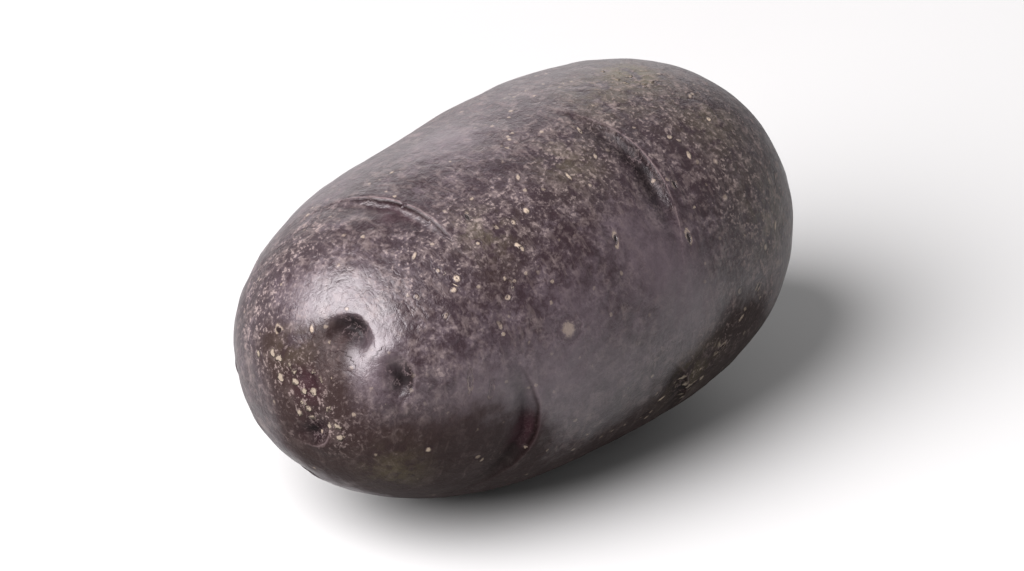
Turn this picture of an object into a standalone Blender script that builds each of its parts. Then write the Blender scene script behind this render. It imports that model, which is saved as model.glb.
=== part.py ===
"""One oblong, purple-skinned potato tuber, lying on its belly on a flat surface.

The tuber's length runs along X: the rose end, where the eyes crowd together, is at -X, and the stem
end, which carries the scar of the stolon, is at +X. A place on the skin is given by its station, the
share of the half length from the middle (-1 at the rose end, +1 at the stem end), and by its clock
angle about the length (0 towards +Y, 90 up, 180 towards -Y). The origin is the centre of the small
flat spot that the tuber rests on.
"""

import math
from collections import namedtuple

import bmesh
import bpy
import numpy as np

MM = 0.001

# Driving dimensions of the tuber, in metres.
LENGTH = 84.0 * MM
WIDTH = 48.6 * MM
HEIGHT = 45.6 * MM
FULLNESS = 0.25  # how much blunter than an ellipsoid both ends are
TAPER = 0.04  # how much stouter the stem end is than the rose end
END_LIFT = 1.1 * MM  # how far both ends curve up from the belly
REST_CUT = 0.6 * MM  # depth of the flat spot on the belly

# Mesh sizes: the sphere that the skin starts from, and the most that an edge may lie off the true skin
# before it is halved, on each pass. An edge is measured at these shares of its length.
SPHERE_SUBDIVISIONS = 5
MOST_SAG = (0.07 * MM, 0.06 * MM, 0.05 * MM, 0.05 * MM)
EDGE_SHARES = (0.25, 0.5, 0.75)
SLOPE_STEP = 1e-3  # step on the unit sphere between the points that give a surface normal
POLE_SHARE = 0.9  # past this station a step is measured from Y and no longer from the length
SMOOTH_ANGLE = math.radians(60)

SKIN_COLOUR = (0.085, 0.066, 0.074, 1.0)
SKIN_ROUGHNESS = 0.55

# An eye is a curved brow, the scar of a scale leaf, with a hollow on its rose side that holds the bud.
# half: half the brow's length; arch: how far its tips sweep towards the rose end; turn: its turn on
# the skin in degrees; lip: the brow's height; depth and run: the hollow's depth and its length towards
# the rose end; bud: the bud's height. Lengths are in millimetres.
Eye = namedtuple("Eye", "station clock turn half arch lip depth run bud")
EYES = (
    Eye(-0.845, 118, 18, 2.7, 1.2, 0.10, 1.80, 4.2, 0.20),
    Eye(-0.805, 157, -10, 2.4, 0.8, 0.10, 1.20, 3.2, 0.25),
    Eye(-0.975, 136, 0, 2.0, 0.6, 0.10, 0.80, 2.2, 0.25),
    Eye(-0.965, 222, 0, 2.6, 0.9, 0.30, 1.40, 2.6, 0.30),
    Eye(-0.495, 90, 12, 7.4, 1.5, 0.22, 0.65, 3.6, 0.40),
    Eye(0.272, 123, 2, 8.2, 1.5, 0.26, 0.95, 3.4, 0.25),
    Eye(-0.430, 196, -6, 7.4, 2.2, 0.20, 1.35, 3.8, 0.40),
    Eye(0.210, 204, 24, 5.0, 0.8, 0.20, 0.50, 2.6, 0.20),
    Eye(-0.630, 10, 6, 4.4, 1.3, 0.28, 1.30, 3.8, 0.45),
    Eye(-0.825, 338, 0, 2.8, 0.9, 0.25, 1.30, 2.8, 0.40),
    Eye(-0.790, 288, -5, 3.8, 1.2, 0.25, 1.20, 3.4, 0.45),
    Eye(-0.080, 18, -8, 6.2, 1.5, 0.28, 1.05, 3.8, 0.45),
    Eye(-0.280, 318, 5, 5.6, 1.5, 0.28, 1.05, 3.6, 0.45),
    Eye(0.540, 342, 4, 6.4, 1.6, 0.28, 0.85, 3.4, 0.40),
    Eye(0.520, 246, -4, 6.0, 1.5, 0.28, 0.85, 3.4, 0.40),
)
BROW_OUTER = 2.3 * MM  # the brow's width on its stem side, where it fades into the skin
BROW_INNER = 0.75 * MM  # its width on the rose side, where it drops into the hollow
HOLLOW_WALL = 1.8 * MM  # how quickly the hollow falls away under the brow
CREASE_REACH = 1.45  # the brow's crease runs on past the hollow to this share of its half length
CREASE_SHARE = 0.25  # and is this share of the hollow's depth there
BUD_SPREAD = 1.0 * MM
BUD_OFFSET = 2.3 * MM  # from the brow towards the rose end
EYE_THROUGH = 4.0 * MM  # how far past half its length an eye reaches through the body, where it fades

# Broad swellings and hollows of the body. Lengths are in millimetres.
Swell = namedtuple("Swell", "station clock radius height")
SWELLS = (
    Swell(-0.91, 117, 7.0, -0.80),
    Swell(-0.865, 150, 4.5, 0.45),
    Swell(-0.72, 75, 10.0, 0.35),
    Swell(-0.50, 92, 7.0, -0.45),
    Swell(0.24, 126, 9.5, -0.35),
    Swell(-0.45, 196, 8.5, -0.55),
    Swell(0.55, 60, 13.0, 0.45),
    Swell(-0.15, 160, 12.0, 0.30),
    Swell(-0.05, 20, 9.5, -0.50),
    Swell(0.55, 300, 12.0, 0.40),
    Swell(-0.60, 350, 10.0, 0.40),
    Swell(0.60, 200, 11.0, 0.35),
    Swell(-0.15, 270, 15.0, 0.70),
)

# The scar of the stolon at the stem end: a pit with a low rim.
SCAR_CLOCK = 250
SCAR_STATION = 0.985
SCAR_RADIUS = 2.4 * MM
SCAR_DEPTH = 1.3 * MM
SCAR_RIM = 0.25 * MM
RIM_PLACE = 1.5  # in scar radii from the middle of the pit
RIM_WIDTH = 0.5  # in scar radii

# Slow waves over the whole skin, so that no stretch is a true ellipsoid.
WAVE_SEED = 7
WAVE_COUNT = 18
WAVE_LENGTHS = (17 * MM, 34 * MM)
WAVE_HEIGHT = 0.16 * MM


def unit(vectors):
    return vectors / np.linalg.norm(vectors, axis=-1, keepdims=True)


def direction_at(station, clock):
    """The point of the unit sphere that a station and a clock angle in degrees stand for."""
    ring = math.sqrt(1 - station**2)
    angle = math.radians(clock)
    return np.array([station, ring * math.cos(angle), ring * math.sin(angle)])


def body_points(directions):
    """Points of the smooth body for points of the unit sphere.

    It is an ellipsoid of the three driving dimensions. Each ring across it is widened by its distance
    from the middle, squared, so that the ends are blunt, and a little more on the stem side. The ends
    are then raised by that distance squared.
    """
    station = directions[:, 0]
    widening = 1 + FULLNESS * station**2 + TAPER * station
    x = LENGTH / 2 * station
    y = WIDTH / 2 * directions[:, 1] * widening
    z = HEIGHT / 2 * directions[:, 2] * widening + END_LIFT * station**2
    return np.stack([x, y, z], axis=1)


def body_normals(directions):
    """Outward normals of the smooth body, from two short steps across it at each point."""
    helper = np.where(np.abs(directions[:, :1]) < POLE_SHARE, [[1.0, 0.0, 0.0]], [[0.0, 1.0, 0.0]])
    first = unit(np.cross(directions, helper))
    second = np.cross(directions, first)
    along_first = body_points(unit(directions + SLOPE_STEP * first)) - body_points(directions)
    along_second = body_points(unit(directions + SLOPE_STEP * second)) - body_points(directions)
    return unit(np.cross(along_first, along_second))


def place_on_body(station, clock, turn=0.0):
    """A point of the body with its normal, its rose-ward direction turned on the skin, and the third."""
    direction = direction_at(station, clock)[None]
    point = body_points(direction)[0]
    normal = body_normals(direction)[0]
    rose = np.array([-1.0, 0.0, 0.0])
    rose = unit(rose - normal * rose.dot(normal))
    across = np.cross(normal, rose)
    angle = math.radians(turn)
    return (
        point,
        normal,
        math.cos(angle) * rose + math.sin(angle) * across,
        math.cos(angle) * across - math.sin(angle) * rose,
    )


def smooth_step(values):
    share = np.clip(values, 0, 1)
    return share * share * (3 - 2 * share)


def eye_relief(points, eye):
    """Height that an eye adds to the skin at each point: its brow, its hollow and its bud."""
    centre, normal, rose, across = place_on_body(eye.station, eye.clock, eye.turn)
    offset = points - centre
    side = offset @ across / (eye.half * MM)
    below_brow = offset @ rose - eye.arch * MM * side**2
    near = np.exp(-(((offset @ normal) / (eye.half * MM + EYE_THROUGH)) ** 4))
    window = np.exp(-(side**4)) * near
    crease = np.exp(-((side / CREASE_REACH) ** 4)) * near
    brow_width = np.where(below_brow < 0, BROW_OUTER, BROW_INNER)
    brow = eye.lip * MM * np.exp(-((below_brow / brow_width) ** 2)) * window
    fall = smooth_step(below_brow / HOLLOW_WALL)
    fade = np.exp(-((np.maximum(below_brow, 0) / (eye.run * MM)) ** 2))
    hollow = eye.depth * MM * fall * fade * window
    line = np.exp(-(((below_brow - BROW_INNER) / BROW_INNER) ** 2))
    groove = CREASE_SHARE * eye.depth * MM * line * (crease - window)
    bud_distance = np.hypot(below_brow - BUD_OFFSET, side * eye.half * MM)
    bud = eye.bud * MM * np.exp(-((bud_distance / BUD_SPREAD) ** 2)) * near
    return brow - hollow - groove + bud


def swell_relief(points, swell):
    centre = body_points(direction_at(swell.station, swell.clock)[None])[0]
    distance = np.linalg.norm(points - centre, axis=1)
    return swell.height * MM * np.exp(-((distance / (swell.radius * MM)) ** 2))


def scar_relief(points):
    """A round pit with a low rim, where the stolon came away."""
    centre = body_points(direction_at(SCAR_STATION, SCAR_CLOCK)[None])[0]
    reach = np.linalg.norm(points - centre, axis=1) / SCAR_RADIUS
    pit = -SCAR_DEPTH * np.exp(-(reach**2))
    rim = SCAR_RIM * np.exp(-(((reach - RIM_PLACE) / RIM_WIDTH) ** 2))
    return pit + rim


def wave_relief(points):
    """The sum of plane waves of seeded directions, lengths and phases."""
    draw = np.random.default_rng(WAVE_SEED)
    headings = unit(draw.normal(size=(WAVE_COUNT, 3)))
    lengths = draw.uniform(*WAVE_LENGTHS, WAVE_COUNT)
    phases = draw.uniform(0, 2 * math.pi, WAVE_COUNT)
    turns = points @ (2 * math.pi * headings / lengths[:, None]).T + phases
    return WAVE_HEIGHT * np.sin(turns).sum(axis=1) / math.sqrt(WAVE_COUNT / 2)


def skin_points(directions):
    """Points of the finished skin: the smooth body, moved along its normals by all of the relief."""
    points = body_points(directions)
    height = wave_relief(points) + scar_relief(points)
    for eye in EYES:
        height += eye_relief(points, eye)
    for swell in SWELLS:
        height += swell_relief(points, swell)
    return points + body_normals(directions) * height[:, None]


def vertex_array(bm):
    return np.array([vertex.co for vertex in bm.verts], float)


def refine(bm, most_sag):
    """Halves the edges of the unit sphere that would lie too far off the true skin."""
    ends = np.array([[vertex.co for vertex in edge.verts] for edge in bm.edges], float)
    skin_ends = skin_points(ends[:, 0]), skin_points(ends[:, 1])
    sag = np.zeros(len(ends))
    for share in EDGE_SHARES:
        true_point = skin_points(unit((1 - share) * ends[:, 0] + share * ends[:, 1]))
        edge_point = (1 - share) * skin_ends[0] + share * skin_ends[1]
        sag = np.maximum(sag, np.linalg.norm(true_point - edge_point, axis=1))
    curved = [edge for edge, distance in zip(bm.edges, sag) if distance > most_sag]
    bmesh.ops.subdivide_edges(bm, edges=curved, cuts=1, use_grid_fill=True)
    bmesh.ops.triangulate(bm, faces=bm.faces[:])
    for vertex in bm.verts:
        vertex.co.normalize()


def set_down(bm):
    """Cuts the flat spot that the tuber rests on and puts the middle of it at the origin."""
    level = min(vertex.co.z for vertex in bm.verts) + REST_CUT
    geometry = bm.verts[:] + bm.edges[:] + bm.faces[:]
    cut = bmesh.ops.bisect_plane(
        bm, geom=geometry, plane_co=(0, 0, level), plane_no=(0, 0, 1), clear_inner=True
    )
    rim = [item for item in cut["geom_cut"] if isinstance(item, bmesh.types.BMEdge)]
    spot = bmesh.ops.contextual_create(bm, geom=rim)["faces"][0]
    centre = spot.calc_center_bounds()
    bmesh.ops.translate(bm, vec=-centre, verts=bm.verts)
    bmesh.ops.recalc_face_normals(bm, faces=bm.faces)


def skin_material():
    material = bpy.data.materials.new("purple_skin")
    material.use_nodes = True
    shader = material.node_tree.nodes["Principled BSDF"]
    shader.inputs["Base Color"].default_value = SKIN_COLOUR
    shader.inputs["Roughness"].default_value = SKIN_ROUGHNESS
    shader.inputs["Metallic"].default_value = 0.0
    return material


def make_tuber(collection):
    bm = bmesh.new()
    bmesh.ops.create_icosphere(bm, subdivisions=SPHERE_SUBDIVISIONS, radius=1.0)
    for most_sag in MOST_SAG:
        refine(bm, most_sag)
    for vertex, point in zip(bm.verts, skin_points(unit(vertex_array(bm)))):
        vertex.co = point
    set_down(bm)
    mesh = bpy.data.meshes.new("tuber")
    bm.to_mesh(mesh)
    bm.free()
    mesh.shade_smooth()
    mesh.set_sharp_from_angle(angle=SMOOTH_ANGLE)
    mesh.materials.append(skin_material())
    tuber = bpy.data.objects.new("tuber", mesh)
    collection.objects.link(tuber)
    return tuber


def main():
    for old in list(bpy.data.objects):
        bpy.data.objects.remove(old, do_unlink=True)
    collection = bpy.data.collections.new("potato")
    bpy.context.scene.collection.children.link(collection)
    make_tuber(collection)


main()
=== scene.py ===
import math

import bpy
import numpy as np
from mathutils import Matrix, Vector


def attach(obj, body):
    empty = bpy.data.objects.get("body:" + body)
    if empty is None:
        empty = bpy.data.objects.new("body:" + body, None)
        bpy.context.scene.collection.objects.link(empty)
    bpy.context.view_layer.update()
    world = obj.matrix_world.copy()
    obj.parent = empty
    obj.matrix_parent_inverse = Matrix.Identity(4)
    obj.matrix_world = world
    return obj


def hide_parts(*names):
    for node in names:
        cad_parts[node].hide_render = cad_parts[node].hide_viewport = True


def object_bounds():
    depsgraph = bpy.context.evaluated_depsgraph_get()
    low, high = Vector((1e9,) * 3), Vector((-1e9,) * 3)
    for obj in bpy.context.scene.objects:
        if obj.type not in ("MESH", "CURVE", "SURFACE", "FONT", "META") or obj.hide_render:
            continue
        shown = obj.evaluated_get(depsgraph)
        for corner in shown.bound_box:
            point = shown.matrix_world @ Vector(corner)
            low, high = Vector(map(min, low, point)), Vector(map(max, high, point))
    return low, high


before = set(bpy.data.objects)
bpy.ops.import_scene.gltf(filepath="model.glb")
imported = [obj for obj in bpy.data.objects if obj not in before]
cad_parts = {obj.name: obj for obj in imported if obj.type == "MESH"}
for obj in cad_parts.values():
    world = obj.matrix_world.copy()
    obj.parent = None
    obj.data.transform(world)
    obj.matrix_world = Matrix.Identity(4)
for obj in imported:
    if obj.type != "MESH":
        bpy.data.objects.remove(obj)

# A purple-skinned potato tuber on a plain pale floor. Lengths are in metres, and mm turns a number of
# millimetres into metres. A place on the skin is a station, the share of the half length from the middle
# (-1 at the rose end, +1 at the stem end), and a clock angle about the length (0 towards +Y, 90 up).

cadLow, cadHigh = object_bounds()  # the box that every visible piece stays inside
mm = 0.001
print("frame loaded")


# The tuber's form, from the same values as its solid.

tuber = {
    "length": 84.0 * mm,
    "width": 48.6 * mm,
    "height": 45.6 * mm,
    "fullness": 0.25,  # how much blunter than an ellipsoid both ends are
    "taper": 0.04,  # how much stouter the stem end is than the rose end
    "endLift": 1.1 * mm,  # how far both ends curve up from the belly
    "cellsAround": 106,  # cells of the grid across a side
    "cellsAlong": 175,  # and along it
}

# Each eye: station, clock, turn in degrees, half the brow's length, the sweep of its tips to the rose
# end, the brow's height, the hollow's depth, its length, the bud's height. Lengths in millimetres.
eyes = [
    (-0.845, 118, 18, 2.7, 1.2, 0.10, 1.80, 4.2, 0.20),
    (-0.805, 157, -10, 2.4, 0.8, 0.10, 1.20, 3.2, 0.25),
    (-0.975, 136, 0, 2.0, 0.6, 0.10, 0.80, 2.2, 0.25),
    (-0.965, 222, 0, 2.6, 0.9, 0.30, 1.40, 2.6, 0.30),
    (-0.495, 90, 12, 7.4, 1.5, 0.22, 0.65, 3.6, 0.40),
    (0.272, 123, 2, 8.2, 1.5, 0.26, 0.95, 3.4, 0.25),
    (-0.430, 196, -6, 7.4, 2.2, 0.20, 1.35, 3.8, 0.40),
    (0.210, 204, 24, 5.0, 0.8, 0.20, 0.50, 2.6, 0.20),
    (-0.630, 10, 6, 4.4, 1.3, 0.28, 1.30, 3.8, 0.45),
    (-0.825, 338, 0, 2.8, 0.9, 0.25, 1.30, 2.8, 0.40),
    (-0.790, 288, -5, 3.8, 1.2, 0.25, 1.20, 3.4, 0.45),
    (-0.080, 18, -8, 6.2, 1.5, 0.28, 1.05, 3.8, 0.45),
    (-0.280, 318, 5, 5.6, 1.5, 0.28, 1.05, 3.6, 0.45),
    (0.540, 342, 4, 6.4, 1.6, 0.28, 0.85, 3.4, 0.40),
    (0.520, 246, -4, 6.0, 1.5, 0.28, 0.85, 3.4, 0.40),
]
eyeShape = {
    "browOuter": 2.3 * mm,  # the brow's width on its stem side
    "browInner": 0.75 * mm,  # its width where it drops into the hollow
    "hollowWall": 1.8 * mm,
    "creaseReach": 1.45,  # how far the crease runs on, in half lengths of the brow
    "creaseShare": 0.25,  # its depth there, as a share of the hollow's
    "budSpread": 1.0 * mm,
    "budOffset": 2.3 * mm,  # from the brow towards the rose end
    "through": 4.0 * mm,  # how far past half its length an eye reaches into the body
    "looksRun": 4.0 * mm,  # below the brow, what counts as much as half its length aside
    "looksReach": 1.8,  # how far an eye's colours reach, in those shares
}

# Each broad swelling or hollow of the body: station, clock, radius and height in millimetres.
swells = [
    (-0.91, 117, 7.0, -0.80),
    (-0.865, 150, 4.5, 0.45),
    (-0.72, 75, 10.0, 0.35),
    (-0.50, 92, 7.0, -0.45),
    (0.24, 126, 9.5, -0.35),
    (-0.45, 196, 8.5, -0.55),
    (0.55, 60, 13.0, 0.45),
    (-0.15, 160, 12.0, 0.30),
    (-0.05, 20, 9.5, -0.50),
    (0.55, 300, 12.0, 0.40),
    (-0.60, 350, 10.0, 0.40),
    (0.60, 200, 11.0, 0.35),
    (-0.15, 270, 15.0, 0.70),
]
scar = {
    "station": 0.985,
    "clock": 250,
    "radius": 2.4 * mm,
    "depth": 1.3 * mm,
    "rim": 0.25 * mm,
    "rimPlace": 1.5,  # in radii
    "rimWidth": 0.5,
}
waves = {
    "seed": 7,
    "count": 18,
    "lengths": (17 * mm, 34 * mm),
    "height": 0.16 * mm,
}


def unitRows(vectors):
    return vectors / np.linalg.norm(vectors, axis=-1, keepdims=True)


def smoothStep(values):
    share = np.clip(values, 0, 1)
    return share * share * (3 - 2 * share)


def directionAt(station, clock):
    ring = math.sqrt(1 - station**2)
    angle = math.radians(clock)
    return np.array([station, ring * math.cos(angle), ring * math.sin(angle)])


def bodyPoints(directions):
    # an ellipsoid whose rings widen with the square of the station, so that the ends are blunt, and a
    # little more on the stem side; the ends rise with that square
    station = directions[:, 0]
    widening = 1 + tuber["fullness"] * station**2 + tuber["taper"] * station
    x = tuber["length"] / 2 * station
    y = tuber["width"] / 2 * directions[:, 1] * widening
    z = tuber["height"] / 2 * directions[:, 2] * widening + tuber["endLift"] * station**2
    return np.stack([x, y, z], axis=1)


def bodyNormals(directions, step=1e-3, nearPole=0.9):
    # the cross product of two short steps across the body
    helper = np.where(np.abs(directions[:, :1]) < nearPole, [[1.0, 0.0, 0.0]], [[0.0, 1.0, 0.0]])
    first = unitRows(np.cross(directions, helper))
    second = np.cross(directions, first)
    alongFirst = bodyPoints(unitRows(directions + step * first)) - bodyPoints(directions)
    alongSecond = bodyPoints(unitRows(directions + step * second)) - bodyPoints(directions)
    return unitRows(np.cross(alongFirst, alongSecond))


def placeOnBody(station, clock, turn=0.0):
    # a point of the body, its normal, the way to the rose end turned on the skin, and the way across
    direction = directionAt(station, clock)[None]
    normal = bodyNormals(direction)[0]
    rose = np.array([-1.0, 0.0, 0.0])
    rose = unitRows(rose - normal * rose.dot(normal))
    across = np.cross(normal, rose)
    angle = math.radians(turn)
    turnedRose = math.cos(angle) * rose + math.sin(angle) * across
    turnedAcross = math.cos(angle) * across - math.sin(angle) * rose
    return bodyPoints(direction)[0], normal, turnedRose, turnedAcross


def eyePlaces(points, eye):
    # for each point: its place along the brow in half lengths, its distance below the brow's arc, and
    # how near it is to the eye through the body
    station, clock, turn, half, arch = eye[:5]
    centre, normal, rose, across = placeOnBody(station, clock, turn)
    offset = points - centre
    side = offset @ across / (half * mm)
    below = offset @ rose - arch * mm * side**2
    near = np.exp(-(((offset @ normal) / (half * mm + eyeShape["through"])) ** 4))
    return side, below, near


def eyeRelief(points, eye):
    # a ridge along the arc, a hollow that falls away under it and fades to the rose end, and a bud
    half, arch, lip, depth, run, budHeight = eye[3:]
    side, below, near = eyePlaces(points, eye)
    window = np.exp(-(side**4)) * near
    crease = np.exp(-((side / eyeShape["creaseReach"]) ** 4)) * near
    browWidth = np.where(below < 0, eyeShape["browOuter"], eyeShape["browInner"])
    brow = lip * mm * np.exp(-((below / browWidth) ** 2)) * window
    fall = smoothStep(below / eyeShape["hollowWall"])
    fade = np.exp(-((np.maximum(below, 0) / (run * mm)) ** 2))
    hollow = depth * mm * fall * fade * window
    inner = eyeShape["browInner"]
    line = np.exp(-(((below - inner) / inner) ** 2))
    groove = eyeShape["creaseShare"] * depth * mm * line * (crease - window)
    budDistance = np.hypot(below - eyeShape["budOffset"], side * half * mm)
    bud = budHeight * mm * np.exp(-((budDistance / eyeShape["budSpread"]) ** 2)) * near
    return brow - hollow - groove + bud


def swellRelief(points, swell):
    station, clock, radius, height = swell
    centre = bodyPoints(directionAt(station, clock)[None])[0]
    distance = np.linalg.norm(points - centre, axis=1)
    return height * mm * np.exp(-((distance / (radius * mm)) ** 2))


def scarRelief(points):
    # a round pit with a low rim
    centre = bodyPoints(directionAt(scar["station"], scar["clock"])[None])[0]
    reach = np.linalg.norm(points - centre, axis=1) / scar["radius"]
    rim = np.exp(-(((reach - scar["rimPlace"]) / scar["rimWidth"]) ** 2))
    return scar["rim"] * rim - scar["depth"] * np.exp(-(reach**2))


def waveRelief(points):
    # a sum of plane waves of seeded directions, lengths and phases
    draw = np.random.default_rng(waves["seed"])
    headings = unitRows(draw.normal(size=(waves["count"], 3)))
    lengths = draw.uniform(*waves["lengths"], waves["count"])
    phases = draw.uniform(0, 2 * math.pi, waves["count"])
    turns = points @ (2 * math.pi * headings / lengths[:, None]).T + phases
    return waves["height"] * np.sin(turns).sum(axis=1) / math.sqrt(waves["count"] / 2)


def formRelief(points):
    height = waveRelief(points) + scarRelief(points)
    height += sum(eyeRelief(points, eye) for eye in eyes)
    height += sum(swellRelief(points, swell) for swell in swells)
    return height


# The fine relief that only the visible skin has.

skinGrain = {
    "seed": 21,
    "lumps": [(5.5, 0.080), (2.8, 0.065), (1.4, 0.035)],  # size and height of each, in millimetres
    "swells": [(-0.90, 131, 2.4, 0.35)],  # small ones, as in the list of swells above
    "furrowHeight": 0.028 * mm,  # wrinkles that run along behind each brow
    "furrowSpacing": 1.15 * mm,
    "furrowReach": 3.2 * mm,
    "furrowSide": 1.3,  # how far aside they reach, in half lengths of the brow
    "furrowWander": 2.5,  # in radians
    "wanderSize": 3.0 * mm,
}


def latticeNoise(points, size, seed):
    # seeded values from -1 to 1 on a cubic lattice of that size, blended smoothly between its corners
    period = 64
    draw = np.random.default_rng(seed)
    table = draw.uniform(-1, 1, (period, period, period))
    place = points / size + draw.uniform(0, period, 3)
    cell = np.floor(place).astype(int)
    share = smoothStep(place - cell)
    total = np.zeros(len(points))
    for corner in np.ndindex(2, 2, 2):
        weight = np.prod(np.where(corner, share, 1 - share), axis=1)
        i, j, k = ((cell + corner) % period).T
        total += weight * table[i, j, k]
    return total


def fineRelief(points):
    # lumps of several sizes, a small swelling, and waves behind each brow, which wander and fade away
    height = np.zeros(len(points))
    for step, (size, tall) in enumerate(skinGrain["lumps"]):
        height += tall * mm * latticeNoise(points, size * mm, skinGrain["seed"] + step)
    height += sum(swellRelief(points, swell) for swell in skinGrain["swells"])
    wander = latticeNoise(points, skinGrain["wanderSize"], skinGrain["seed"] + 10)
    for eye in eyes:
        side, below, near = eyePlaces(points, eye)
        behind = np.exp(-((below / skinGrain["furrowReach"]) ** 2)) * near * (below < 0)
        behind *= np.exp(-((side / skinGrain["furrowSide"]) ** 4))
        turns = 2 * math.pi * below / skinGrain["furrowSpacing"] + skinGrain["furrowWander"] * wander
        height += skinGrain["furrowHeight"] * np.sin(turns) * behind
    return height


def boxSphereGrid(around, along):
    # Six square patches of two parameters each, spread over the unit sphere by even angles and welded
    # along their edges. The four side patches have more cells along X than round it.
    corners, quads, count = [], [], 0
    for axis in range(3):
        for sign in (-1, 1):
            sizes = [along if other == 0 else around for other in range(3) if other != axis]
            first, second = (np.tan(np.linspace(-math.pi / 4, math.pi / 4, size + 1)) for size in sizes)
            u, v = np.meshgrid(first, second, indexing="ij")
            patch = np.full(u.shape + (3,), float(sign))
            patch[..., [other for other in range(3) if other != axis]] = np.stack([u, v], axis=-1)
            index = count + np.arange(u.size).reshape(u.shape)
            faces = np.stack([index[:-1, :-1], index[1:, :-1], index[1:, 1:], index[:-1, 1:]], axis=-1)
            faces = faces.reshape(-1, 4)
            outwards = (sign > 0) != (axis == 1)
            quads.append(faces if outwards else faces[:, ::-1])
            corners.append(patch.reshape(-1, 3))
            count += u.size
    directions = unitRows(np.concatenate(corners))
    rounded = np.round(directions, 7)
    _, chosen, place = np.unique(rounded, axis=0, return_index=True, return_inverse=True)
    return directions[chosen], place.ravel()[np.concatenate(quads)]


# What lies on the skin, each patch as station, clock, radius in millimetres and strength.

films = {
    "smooth": [  # where the skin is clean and waxy
        (0.11, 157, 7.5, 1.0), (0.04, 142, 4.5, 0.7), (0.20, 172, 5.5, 0.8), (-0.25, 157, 6.5, 0.7),
        (-0.36, 175, 6, 0.7), (-0.63, 175, 8, 0.8), (-0.16, 78, 6, 0.7), (-0.12, 180, 5, 0.6),
        (-0.89, 86, 5, 0.6), (-0.86, 138, 5.0, 0.7), (-0.90, 150, 4, 0.4), (-0.78, 104, 4, 0.4),
        (-0.52, 186, 5, 0.5), (-0.30, 186, 6, 0.5),
        (0.10, 345, 12, 0.9), (-0.45, 30, 9, 0.8), (0.55, 20, 9, 0.7), (-0.75, 250, 8, 0.7),
        (0.25, 250, 10, 0.7), (-0.30, 300, 9, 0.7), (0.62, 290, 9, 0.7),
    ],
    "dust": [  # where pale dust sits thick in the grain
        (0.02, 113, 7, 0.6), (-0.30, 116, 7, 0.6), (0.30, 112, 7, 0.6), (-0.56, 116, 5, 0.6),
        (0.55, 100, 8, 0.7), (0.62, 152, 8, 0.6), (-0.90, 50, 7, 0.8), (-0.72, 66, 6, 0.7),
        (0.72, 165, 7, 0.9), (0.50, 140, 5, 0.6), (0.82, 130, 7, 0.8), (0.64, 186, 6, 0.7),
        (-0.98, 190, 6, 0.5), (0.34, 190, 6, 0.6), (-0.74, 158, 5, 0.3), (-0.70, 112, 6, 0.4),
        (0.05, 30, 12, 0.8), (-0.55, 330, 10, 0.7), (0.70, 310, 10, 0.8), (-0.20, 265, 10, 0.5),
        (0.85, 40, 10, 0.7), (-0.10, 322, 8, 0.5),
    ],
    "soil": [  # where it is stained dark brown, and on the lower side and at the rose end a painted shade as well
        (-0.925, 117, 3.3, 0.95), (-0.975, 142, 3.0, 0.9), (-0.99, 150, 6, 0.9), (-0.97, 60, 5, 0.55),
        (-0.46, 134, 4, 0.25), (-0.30, 122, 6, 0.35), (0.10, 118, 6, 0.3), (-0.64, 182, 5, 0.3),
        (-0.45, 136, 5, 0.25), (-0.47, 200, 4, 0.6), (-0.85, 208, 8, 0.8), (-0.70, 196, 5, 0.4),
        (0.21, 206, 6, 1.0), (0.42, 196, 7, 0.8), (-0.07, 228, 10, 0.9), (-0.62, 222, 11, 1.0),
        (-0.96, 235, 7, 0.9), (-0.45, 232, 9, 0.8), (0.97, 250, 7, 0.9), (0.60, 230, 12, 0.8),
        (0.20, 236, 12, 0.8), (-0.30, 262, 12, 0.6), (0.30, 320, 7, 0.6), (-0.85, 320, 7, 0.6),
    ],
    "crumbs": [  # where crumbs of dry soil cling
        (-0.993, 70, 3.5, 1.0), (-0.992, 160, 3.5, 1.0), (-0.96, 200, 3.0, 0.6), (-0.975, 30, 3.0, 0.7),
        (0.21, 204, 4.0, 0.7), (0.37, 192, 3.0, 0.5), (0.97, 250, 4.0, 0.7), (-0.86, 330, 3.0, 0.5),
        (0.52, 90, 3.5, 0.9), (0.62, 112, 3.0, 0.4), (-0.97, 120, 3.0, 0.35),
    ],
    "green": [  # where it has an olive cast
        (0.54, 88, 4.0, 1.0), (0.35, 95, 6.0, 0.4), (0.02, 112, 5.0, 0.4), (-0.40, 118, 4.0, 0.4),
        (0.60, 120, 6.0, 0.4), (0.10, 25, 5.0, 0.5), (0.20, 200, 5.0, 0.4), (0.75, 330, 5.0, 0.6),
        (-0.97, 90, 4.0, 0.15), (-0.829, 214, 4.0, 0.4), (0.62, 160, 6.0, 0.4),
    ],
}

# How each eye is coloured, in the order of the list above: how dark its hollow is, partly dirt and partly
# painted shade; how red; how pale the line along its brow, partly a painted highlight on the ridge; and how
# open the crack under that line, whose dark is painted shade.
eyeLooks = [
    (1.0, 0.2, 0.1, 0.5),
    (1.0, 0.2, 0.2, 0.7),
    (0.5, 0.8, 0.2, 0.4),
    (1.0, 0.4, 0.5, 0.7),
    (0.2, 0.8, 1.0, 0.9),
    (0.8, 0.2, 1.0, 0.6),
    (0.7, 0.9, 0.15, 1.0),
    (0.8, 0.2, 0.5, 1.0),
    (0.5, 0.5, 0.6, 0.7),
    (0.9, 0.4, 0.4, 0.6),
    (0.6, 0.6, 0.5, 0.7),
    (0.4, 0.4, 0.8, 0.7),
    (0.5, 0.6, 0.6, 0.8),
    (0.6, 0.3, 0.7, 0.7),
    (0.5, 0.5, 0.6, 0.7),
]
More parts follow.
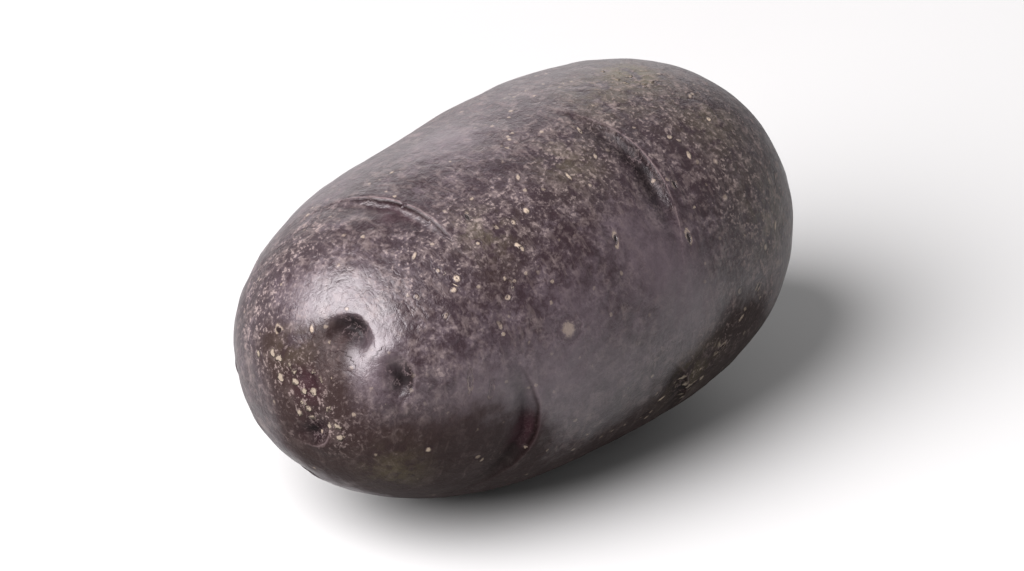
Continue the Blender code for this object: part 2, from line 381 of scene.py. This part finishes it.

# Lenticels and slits that stand out: station, clock, radius in millimetres, how many times longer one is
# than wide, its turn in degrees from the length, and its paleness, which is below 0 for a slit painted dark
# as shade.
lenticels = [
    (-0.307, 160, 1.15, 1.0, 0, 0.4), (-0.569, 128, 0.50, 1.0, 0, 1.0), (-0.598, 131, 0.34, 1.3, 0, 0.7),
    (-0.236, 119.6, 0.40, 1.2, 60, 0.9), (-0.342, 128, 0.34, 1.0, 0, 0.9), (-0.335, 130, 0.28, 1.4, 80, 0.6),
    (0.599, 119.6, 0.38, 1.0, 0, 0.9), (0.405, 119.6, 0.34, 1.2, 0, 0.8), (0.419, 128, 0.34, 1.8, 70, 0.7),
    (-0.460, 142, 0.36, 1.3, 0, 0.6), (-0.415, 138, 0.28, 1.0, 0, 0.4),
    (-0.60, 122, 0.28, 1.0, 0, 0.5), (-0.66, 138, 0.30, 1.5, 40, 0.4), (-0.70, 126, 0.28, 1.0, 0, 0.4),
    (-0.52, 150, 0.30, 1.6, 90, 0.4), (-0.78, 196, 0.40, 1.0, 0, 0.6), (-0.62, 203, 0.34, 1.2, 0, 0.4),
    (-0.30, 121, 0.28, 1.5, 90, 0.6), (-0.44, 121, 0.28, 1.0, 0, 0.6), (0.02, 122, 0.30, 1.0, 0, 0.5),
    (0.12, 114, 0.28, 1.7, 60, 0.6), (0.50, 134, 0.42, 1.0, 0, 0.4), (0.46, 146, 0.46, 1.2, 0, 0.4),
    (0.58, 170, 0.40, 1.0, 0, 0.5), (0.70, 150, 0.36, 1.4, 90, 0.4), (0.42, 178, 0.44, 1.0, 0, 0.4),
    (0.08, 214, 0.36, 1.4, 0, 0.5), (-0.024, 140.8, 0.28, 2.6, 65, -0.9), (0.247, 151, 0.30, 2.4, 80, -0.9),
    (0.10, 205, 0.26, 2.8, 10, 0.8), (0.17, 199, 0.26, 2.6, 20, 0.7), (0.24, 207, 0.30, 3.4, 15, -1.0),
    (0.34, 196, 0.28, 3.0, 20, -1.0), (0.43, 189, 0.26, 2.6, 30, 0.7), (0.05, 210, 0.28, 2.6, 10, -0.9),
    (0.52, 182, 0.26, 3.0, 35, -0.8), (0.66, 166, 0.26, 3.0, 50, 0.6), (0.74, 150, 0.26, 3.0, 60, -0.7),
    (-0.02, 116, 0.26, 2.6, 85, 0.7), (-0.16, 108, 0.26, 2.4, 50, 0.6), (0.16, 103, 0.26, 2.8, 70, 0.6),
    (-0.62, 112, 0.26, 2.4, 30, 0.6), (-0.66, 166, 0.26, 4.4, 80, -0.3), (-0.60, 172, 0.26, 4.2, 75, -0.3),
    (-0.93, 100, 0.30, 2.0, 30, 0.6), (-0.95, 70, 0.36, 1.6, 60, -0.7), (-0.40, 111, 0.28, 2.0, 75, -0.8),
    (0.30, 134, 0.28, 2.2, 85, -0.8), (0.62, 108, 0.30, 2.0, 40, 0.5), (-0.10, 40, 0.50, 1.0, 0, 0.7),
    (0.35, 350, 0.60, 1.0, 0, 0.6), (-0.40, 345, 0.50, 1.2, 0, 0.6), (0.10, 290, 0.50, 1.0, 0, 0.6),
    (0.75, 10, 0.45, 1.2, 0, 0.6), (0.30, 40, 0.30, 3.0, 80, -0.8), (-0.30, 20, 0.30, 2.6, 70, -0.8),
]


def patchMask(points, rows):
    # one less the product of what each soft round patch leaves bare
    bare = np.ones(len(points))
    for station, clock, radius, strength in rows:
        centre = bodyPoints(directionAt(station, clock)[None])[0]
        distance = np.linalg.norm(points - centre, axis=1)
        bare *= 1 - strength * np.exp(-((distance / (radius * mm)) ** 2))
    return 1 - bare


def eyeMap(points):
    # each point's place in the eye nearest to it: along the brow in half lengths, below its arc in
    # millimetres, and aside in millimetres; and that eye's looks
    best = np.full(len(points), np.inf)
    places = np.zeros((len(points), 3))
    looks = np.zeros((len(points), 4))
    for eye, look in zip(eyes, eyeLooks):
        side, below, near = eyePlaces(points, eye)
        distance = np.hypot(side, below / eyeShape["looksRun"]) / np.maximum(near, 1e-3)
        closer = distance < best
        best = np.where(closer, distance, best)
        places[closer] = np.stack([side, below / mm, side * eye[3]], axis=1)[closer]
        fade = near * np.exp(-((distance / eyeShape["looksReach"]) ** 4))
        looks[closer] = (fade[:, None] * look)[closer]
    return places, looks


def lenticelMap(points):
    # the way from the nearest lenticel's middle in its radii, how far that is, and how pale it is
    farAway = 9.0
    best = np.full(len(points), farAway)
    places = np.full((len(points), 3), farAway)
    paleness = np.zeros(len(points))
    for station, clock, radius, stretch, turn, pale in lenticels:
        centre, normal, rose, across = placeOnBody(station, clock, turn)
        offset = (points - centre) / (radius * mm)
        offset -= np.outer(offset @ rose, rose) * (1 - 1 / stretch)
        distance = np.linalg.norm(offset, axis=1)
        closer = distance < best
        best = np.where(closer, distance, best)
        places[closer] = offset[closer]
        paleness[closer] = pale
    return places, best, paleness


class Wire:
    # a node's output; maths on it adds the nodes that work it out

    def __init__(self, tree, socket):
        self.tree = tree
        self.socket = socket

    def node(self, kind, settings, values, out=0):
        # adds a node: its settings first, then a value or a wire for each of its sockets
        made = self.tree.nodes.new(kind)
        for name, setting in settings.items():
            setattr(made, name, setting)
        for key, value in values.items():
            if isinstance(value, Wire):
                self.tree.links.new(value.socket, made.inputs[key])
            else:
                made.inputs[key].default_value = value
        return Wire(self.tree, made.outputs[out])

    def maths(self, operation, *values):
        return self.node("ShaderNodeMath", {"operation": operation}, dict(enumerate(values)))

    def __add__(self, other):
        return self.maths("ADD", self, other)

    def __sub__(self, other):
        return self.maths("SUBTRACT", self, other)

    def __rsub__(self, other):
        return self.maths("SUBTRACT", other, self)

    def __mul__(self, other):
        return self.maths("MULTIPLY", self, other)

    def scaled(self, amount):
        return self.node("ShaderNodeVectorMath", {"operation": "SCALE"}, {0: self, "Scale": amount})

    def __truediv__(self, other):
        return self.maths("DIVIDE", self, other)

    def __pow__(self, other):
        return self.maths("POWER", self, other)

    __radd__ = __add__
    __rmul__ = __mul__

    def moved(self, other):
        return self.node("ShaderNodeVectorMath", {"operation": "ADD"}, {0: self, 1: other})

    def rise(self, low, high):
        # 0 below low, 1 above high and smooth between; falls instead where low is above high
        return self.node(
            "ShaderNodeMapRange", {"interpolation_type": "SMOOTHSTEP"},
            {"Value": self, "From Min": low, "From Max": high},
        )

    def bell(self, middle, width):
        # 1 at the middle, falling off to either side
        reach = (self - middle) / width
        return self.maths("EXPONENT", reach * reach * -1)

    def noise(self, size, detail=3.0, roughness=0.55, distortion=0.0, out="Fac"):
        settings = {"noise_dimensions": "3D"}
        values = {
            "Vector": self, "Scale": 1 / size, "Detail": detail, "Roughness": roughness,
            "Distortion": distortion,
        }
        return self.node("ShaderNodeTexNoise", settings, values, out)

    def cells(self, size):
        # how far the nearest of many scattered points is, in sizes, and three random numbers for that point
        settings = {"voronoi_dimensions": "3D"}
        distance = self.node("ShaderNodeTexVoronoi", settings, {"Vector": self, "Scale": 1 / size})
        return distance, Wire(self.tree, distance.socket.node.outputs["Color"]).parts()

    def attribute(self, name, out="Fac"):
        return self.node("ShaderNodeAttribute", {"attribute_name": name}, {}, out)

    def parts(self):
        return [self.node("ShaderNodeSeparateXYZ", {}, {0: self}, out) for out in range(3)]

    def towards(self, base, colour):
        # mixes two colours by this wire: a Mix node's colours are its sockets 6 and 7, and its output 2
        values = {0: self, 6: base, 7: colour}
        return self.node("ShaderNodeMix", {"data_type": "RGBA", "clamp_factor": True}, values, 2)


# The skin's finish. Colours are linear red, green and blue, and lengths are in millimetres.

skinFinish = {
    "deep": (0.013, 0.005, 0.007, 1),  # the darkest, reddest skin
    "body": (0.021, 0.012, 0.016, 1),
    "waxy": (0.076, 0.058, 0.067, 1),  # clean and paler
    "dust": (0.195, 0.155, 0.143, 1),
    # dark brown of soil stains, also used as a painted shade on the lower side and at the rose end
    "soil": (0.0145, 0.0080, 0.0068, 1),
    "crumb": (0.170, 0.143, 0.112, 1),
    "green": (0.085, 0.075, 0.032, 1),
    "lenticel": (0.320, 0.262, 0.200, 1),
    # near black for the eye hollows: partly dirt, partly painted shade in the recesses
    "hollow": (0.004, 0.004, 0.004, 1),
    "blush": (0.020, 0.006, 0.009, 1),
    # pale, for the line along each brow, partly a painted highlight on its ridge, and for the painted glints
    # in the hollows
    "lip": (0.135, 0.102, 0.102, 1),
    # near black for the cracks under the brows and the dark slits: painted shade in their depths
    "crack": (0.006, 0.002, 0.002, 1),
    "roughness": 0.38,
    "refraction": 1.52,
    "mattRoughness": 0.85,  # of soil with its painted shade, crumbs, hollows and cracks
    "mattShine": 0.08,
    "slowSize": 13.0,  # of the slow changes of tone
    "quickSize": 3.0,
    "cloudSize": 1.7,
    "mottleSize": 2.1,
    "grainSize": 1.0,
    "fineSize": 0.42,
    "streakSize": 1.1,
    "streakStretch": 4.0,  # how many times longer than wide the streaks round the tuber are
    "speckSpacing": 4.2,
    "fleckSpacing": 1.9,
    "crumbSpacing": 1.4,
    "grainHeight": 0.060,
    "fineHeight": 0.014,
    "streakHeight": 0.040,
    "crumbHeight": 0.30,
    "slitDepth": 0.15,
    "crackDepth": 0.16,
}


class Skin:
    # the patterns and masks that the layers of the skin share, and the colour that they build up

    def __init__(self, tree):
        self.start = Wire(tree, None)
        masks = (self.start.attribute(name) for name in films)
        self.smooth, self.dust, self.soil, self.crumbs, self.green = masks
        self.place = self.start.node("ShaderNodeTexCoord", {}, {}, "Object").scaled(1 / mm)
        self.slow = self.place.noise(skinFinish["slowSize"], 3)
        self.quick = self.place.noise(skinFinish["quickSize"], 5, 0.65)
        self.grain = self.place.noise(skinFinish["grainSize"], 3, 0.62, 0.5)
        self.fine = self.place.noise(skinFinish["fineSize"], 2, 0.6)
        self.broken = self.place.noise(1.5, 3, 0.6)  # where the lines along the eyes break off
        along = 1 / skinFinish["streakStretch"]
        values = {0: self.place, 1: (1.0, along, along)}
        banded = self.start.node("ShaderNodeVectorMath", {"operation": "MULTIPLY"}, values)
        self.streak = banded.noise(skinFinish["streakSize"], 4, 0.65)

    def lay(self, share, name):
        self.colour = share.towards(self.colour, skinFinish[name])


def layGround(skin):
    # violet brown with slow and quick changes of tone, paler where it is clean and waxy
    skin.colour = skin.slow.rise(0.36, 0.64).towards(skinFinish["deep"], skinFinish["body"])
    skin.lay(skin.quick.rise(0.46, 0.68) * 0.5, "waxy")
    skin.wax = skin.smooth * (skin.quick + skin.smooth * 0.3).rise(0.42, 0.62)
    skin.rough = 1 - skin.wax * 0.85
    skin.lay(skin.wax * 0.75, "waxy")
    cloud = skin.place.noise(skinFinish["cloudSize"], 4, 0.7)
    skin.lay(cloud.rise(0.50, 0.64) * (skin.rough * 0.22 + 0.02), "dust")
    skin.lay(cloud.rise(0.48, 0.36) * (skin.rough * 0.42 + 0.06), "deep")


def layDust(skin):
    # dark pits in the grain, soil stains that are partly painted shade, dust caught on the grain and in
    # streaks, and the olive cast
    grain, fine, rough = skin.grain, skin.fine, skin.rough
    skin.lay((grain * 0.6 + fine * 0.4).rise(0.50, 0.42) * (rough - 0.1) * 0.85, "deep")
    # soil film: real stain, and on the lower side and at the rose end a painted shade as well
    skin.stain = (skin.soil * 1.15 + skin.quick * 0.7 - 0.42).rise(0.15, 0.70)
    skin.lay(skin.stain * 0.85, "soil")
    skin.grit = (grain * 0.5 + fine * 0.5).rise(0.53, 0.62)
    skin.drift = (skin.dust * 0.9 + skin.quick * 1.7 + skin.slow * 0.5 - 1.0).rise(0.0, 0.75) * rough
    skin.lay(skin.grit * skin.drift * (0.70 - skin.stain * 0.35), "dust")
    clear = rough * (1 - skin.stain * 0.55)
    skin.lay(skin.streak.rise(0.54, 0.64) * clear * 0.16, "dust")
    mottle = skin.place.noise(skinFinish["mottleSize"], 2, 0.5, 0.3).rise(0.55, 0.65)
    skin.lay(mottle * grain.rise(0.40, 0.55) * clear * (skin.dust * 0.18 + 0.12), "dust")
    skin.lay(skin.green * skin.quick.rise(0.40, 0.56) * 0.6, "green")


def layEyes(skin):
    # a dark or reddened hollow, its dark partly dirt and partly painted shade, a pale line along the brow
    # that is partly a painted highlight, a crack under it painted dark as shade, and painted glints in the
    # hollows
    side, below, aside = skin.start.attribute("eyeMap", "Vector").parts()
    dark, red, pale = skin.start.attribute("eyeLook", "Vector").parts()
    openness = skin.start.attribute("eyeCrack")
    wander = (skin.place.noise(1.7, 2) - 0.5) * 0.9
    hollow = (below + wander).rise(-0.4, 0.7) * (below + wander * 2).rise(4.4, 2.0)
    # the dark of each hollow is partly dirt and partly painted shade in the recess
    skin.hollow = hollow * side.bell(0, 1.05) * dark
    skin.lay(skin.hollow * 0.97, "hollow")
    budReach = ((below - 2.0) ** 2 + aside * aside * 0.55) ** 0.5 + wander * 1.5
    skin.lay(budReach.rise(3.8, 0.8) * red * skin.quick.rise(0.2, 0.6) * 0.85, "blush")
    # the pale line is partly the brow's own paler skin and partly a painted highlight on the ridge
    line = (below + wander * 0.35).bell(-0.12, 0.13) * side.bell(0, 1.25)
    skin.lip = line * skin.broken.rise(0.34, 0.52) * pale
    skin.lay(skin.lip * 0.85, "lip")
    # the crack under the line is painted near black, as shade in the crease
    crack = (below + wander * 0.45).bell(0.34, 0.26) * side.bell(0, 1.0)
    skin.crack = crack * (skin.broken + openness * 0.16).rise(0.46, 0.60) * openness
    skin.lay(skin.crack, "crack")
    # painted glints: pale squiggles in the hollows that stand in for glints of light
    hollowGlint = skin.place.noise(1.2, 3, 0.6).bell(0.5, 0.022) * skin.broken.rise(0.45, 0.55)
    skin.lay(hollowGlint * skin.hollow * (0.60 - red * 0.50), "lip")


def layLenticels(skin):
    # the listed lenticels and slits with their edges, and pale specks and flecks at scattered points
    grain, fine = skin.grain, skin.fine
    way = skin.start.attribute("lenticelWay", "Vector")
    reach = way.node("ShaderNodeVectorMath", {"operation": "LENGTH"}, {0: way}, "Value")
    reach = reach + (fine - 0.5) * 1.3 + (grain - 0.5) * 0.8
    close = skin.start.attribute("lenticelReach").rise(3.4, 2.6)
    paleness = skin.start.attribute("lenticelPaleness")
    spot = reach.rise(1.1, 0.5) * close * paleness.rise(0.0, 1.0)
    skin.spot = spot * (grain + fine).rise(0.66, 0.98)
    skin.slit = reach.rise(1.0, 0.5) * close * paleness.rise(0.0, -0.8)
    skin.ring = reach.bell(1.35, 0.35) * close
    rim = skin.ring * paleness.rise(0.0, -0.8) * skin.broken.rise(0.48, 0.60)
    away, chances = skin.place.cells(skinFinish["speckSpacing"])
    away = away * skinFinish["speckSpacing"] + (fine - 0.5) * 0.35
    skin.speck = (away / (chances[0] * 0.24 + 0.10)).rise(1.1, 0.5) * chances[0].rise(0.3, 1.0)
    away, chances = skin.place.cells(skinFinish["fleckSpacing"])
    away = away * skinFinish["fleckSpacing"] + (fine - 0.5) * 0.7
    skin.fleck = away.rise(0.34, 0.16) * chances[2].rise(0.45, 1.0) * skin.rough
    skin.lay(skin.ring * 0.45, "deep")
    skin.lay(skin.fleck * 0.5 + skin.speck * 0.6 + skin.spot + rim * 0.5, "lenticel")
    # the dark slits are painted shade in their depth
    skin.lay(skin.slit, "crack")


def layCrumbs(skin):
    # dust and crumbs of dry soil, the crumbs at scattered points that noise jolts
    jolt = skin.place.noise(0.9, 2, 0.6, 0, "Color").scaled(0.9)
    away, chances = skin.place.moved(jolt).cells(skinFinish["crumbSpacing"])
    crumb = (away + (skin.fine - 0.5) * 0.4).rise(0.42, 0.26)
    skin.crumb = crumb * (skin.crumbs + chances[1] - 0.80).rise(0.42, 0.52)
    skin.lay(skin.crumbs * skin.grit * 0.5, "dust")
    skin.lay(skin.crumb, "crumb")


def skinHeight(skin):
    # how far the finest relief stands out, in millimetres
    height = (skin.grain - 0.5) * (skin.rough * skinFinish["grainHeight"] + 0.020) * 2
    height += (skin.fine - 0.5) * (skin.rough * skinFinish["fineHeight"] + 0.003) * 2
    height += (skin.streak - 0.5) * skin.rough * skinFinish["streakHeight"]
    height += skin.spot * 0.05 - skin.ring * 0.03 + skin.speck * 0.03 + skin.fleck * 0.03
    height += skin.crumb * skinFinish["crumbHeight"] - skin.slit * skinFinish["slitDepth"]
    return height + skin.lip * 0.02 - skin.crack * skinFinish["crackDepth"]


def skinRoughness(skin):
    roughness = skinFinish["roughness"] + (skin.grain - 0.5) * 0.25 - skin.wax * 0.04
    return roughness + skin.drift * 0.12 + skin.grit * skin.drift * 0.2 + skin.crumb * 0.3


def skinMaterial():
    # a waxy shader, and a matt one for soil with its painted shade, hollows, crumbs and cracks
    material = bpy.data.materials.new("tuberSkin")
    material.use_nodes = True
    tree = material.node_tree
    skin = Skin(tree)
    for layer in (layGround, layDust, layEyes, layLenticels, layCrumbs):
        layer(skin)
    values = {"Strength": 1.0, "Distance": mm, "Height": skinHeight(skin)}
    bumped = skin.start.node("ShaderNodeBump", {}, values)
    waxy = tree.nodes["Principled BSDF"]
    matt = tree.nodes.new("ShaderNodeBsdfPrincipled")
    for shader in (waxy, matt):
        tree.links.new(skin.colour.socket, shader.inputs["Base Color"])
        tree.links.new(bumped.socket, shader.inputs["Normal"])
    tree.links.new(skinRoughness(skin).socket, waxy.inputs["Roughness"])
    waxy.inputs["IOR"].default_value = skinFinish["refraction"]
    matt.inputs["Roughness"].default_value = skinFinish["mattRoughness"]
    matt.inputs["Specular IOR Level"].default_value = skinFinish["mattShine"]
    waxyShare = (1 - skin.stain * 0.88) * (1 - skin.hollow * 0.95)
    waxyShare = waxyShare * (1 - skin.crumb) * (1 - skin.crack * 0.95)
    mixed = skin.start.node("ShaderNodeMixShader", {}, {"Fac": 1 - waxyShare})
    tree.links.new(waxy.outputs[0], mixed.socket.node.inputs[1])
    tree.links.new(matt.outputs[0], mixed.socket.node.inputs[2])
    tree.links.new(mixed.socket, tree.nodes["Material Output"].inputs["Surface"])
    return material


def storeMaps(mesh, body):
    # what the material reads at each point: the films, the eyes and the lenticels
    places, looks = eyeMap(body)
    way, reach, paleness = lenticelMap(body)
    masks = {name: patchMask(body, rows) for name, rows in films.items()}
    masks.update(eyeCrack=looks[:, 3], lenticelReach=reach, lenticelPaleness=paleness)
    for name, values in masks.items():
        mesh.attributes.new(name, "FLOAT", "POINT").data.foreach_set("value", values)
    for name, values in (("eyeMap", places), ("eyeLook", looks[:, :3]), ("lenticelWay", way)):
        mesh.attributes.new(name, "FLOAT_VECTOR", "POINT").data.foreach_set("vector", values.ravel())


def makeTuber():
    # the body with its form, shifted to where the solid's box has it, with the fine relief on top
    directions, quads = boxSphereGrid(tuber["cellsAround"], tuber["cellsAlong"])
    body = bodyPoints(directions)
    normals = bodyNormals(directions)
    form = body + normals * formRelief(body)[:, None]
    low, high = np.array(cadLow), np.array(cadHigh)
    shift = (low + high) / 2 - (form.min(axis=0) + form.max(axis=0)) / 2
    shift[2] = high[2] - form[:, 2].max()
    points = form + normals * fineRelief(body)[:, None] + shift
    points = np.clip(points, low, high)  # below, this makes the flat spot that the tuber rests on
    mesh = bpy.data.meshes.new("tuberSkin")
    mesh.from_pydata(points, [], quads)
    mesh.shade_smooth()
    storeMaps(mesh, body)
    mesh.materials.append(skinMaterial())
    piece = bpy.data.objects.new("tuberSkin", mesh)
    bpy.context.scene.collection.objects.link(piece)
    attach(piece, "root")
    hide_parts("tuber")
    print("tuber made:", len(points), "points,", 2 * len(quads), "triangles")
    return Vector(shift)


middle = makeTuber()  # where the body's own middle lies


# The floor, the light and the camera.

studio = {
    "floorSize": 8.0,
    "floorDrop": 0.2 * mm,  # below what rests on it, so that the faces don't flicker
    "floorColour": (0.405, 0.418, 0.408, 1),
    "worldColour": (1.0, 0.955, 0.985),
    "worldStrength": 0.42,
    "lights": {  # direction from the tuber, distance, width, power and colour of each
        "keyLight": ((-0.72, 0.05, 0.69), 1.0, 0.95, 40.0, (1.0, 0.945, 0.975)),
        "backLight": ((0.62, 0.74, 0.26), 1.6, 1.5, 10.0, (1.0, 0.96, 0.97)),
    },
}
shot = {
    "azimuth": -46.7,  # the photograph's viewing angle, in degrees
    "elevation": 29.6,
    "distance": 3.2,
    "lens": 885.0,
    "sensor": 36.0,
}


def makeStudio():
    half = studio["floorSize"] / 2
    corners = [(-half, -half), (half, -half), (half, half), (-half, half)]
    mesh = bpy.data.meshes.new("floor")
    mesh.from_pydata([(x, y, -studio["floorDrop"]) for x, y in corners], [], [(0, 1, 2, 3)])
    material = bpy.data.materials.new("floorPaint")
    material.use_nodes = True
    shader = material.node_tree.nodes["Principled BSDF"]
    shader.inputs["Base Color"].default_value = studio["floorColour"]
    shader.inputs["Roughness"].default_value = 0.9
    shader.inputs["Specular IOR Level"].default_value = 0.1
    mesh.materials.append(material)
    floor = bpy.data.objects.new("floor", mesh)
    bpy.context.scene.collection.objects.link(floor)

    world = bpy.data.worlds.new("studioWorld")
    world.use_nodes = True
    background = world.node_tree.nodes["Background"]
    background.inputs["Color"].default_value = (*studio["worldColour"], 1)
    background.inputs["Strength"].default_value = studio["worldStrength"]
    bpy.context.scene.world = world

    for name, (way, distance, width, power, colour) in studio["lights"].items():
        light = bpy.data.lights.new(name, "AREA")
        light.shape = "DISK"
        light.size = width
        light.energy = power
        light.color = colour
        lamp = bpy.data.objects.new(name, light)
        direction = Vector(way).normalized()
        lamp.location = middle + direction * distance
        lamp.rotation_euler = direction.to_track_quat("Z", "Y").to_euler()
        lamp.visible_camera = False
        bpy.context.scene.collection.objects.link(lamp)


def makeCamera():
    azimuth, elevation = math.radians(shot["azimuth"]), math.radians(shot["elevation"])
    back = Vector((
        math.sin(azimuth) * math.cos(elevation),
        -math.cos(azimuth) * math.cos(elevation),
        math.sin(elevation),
    ))
    camera = bpy.data.cameras.new("camera")
    camera.lens = shot["lens"]
    camera.sensor_width = shot["sensor"]
    camera.clip_end = 20
    holder = bpy.data.objects.new("camera", camera)
    holder.location = middle + back * shot["distance"]
    holder.rotation_euler = back.to_track_quat("Z", "Y").to_euler()
    bpy.context.scene.collection.objects.link(holder)
    bpy.context.scene.camera = holder


makeStudio()
makeCamera()
bpy.context.scene.view_settings.view_transform = "Standard"
print("studio and camera made")
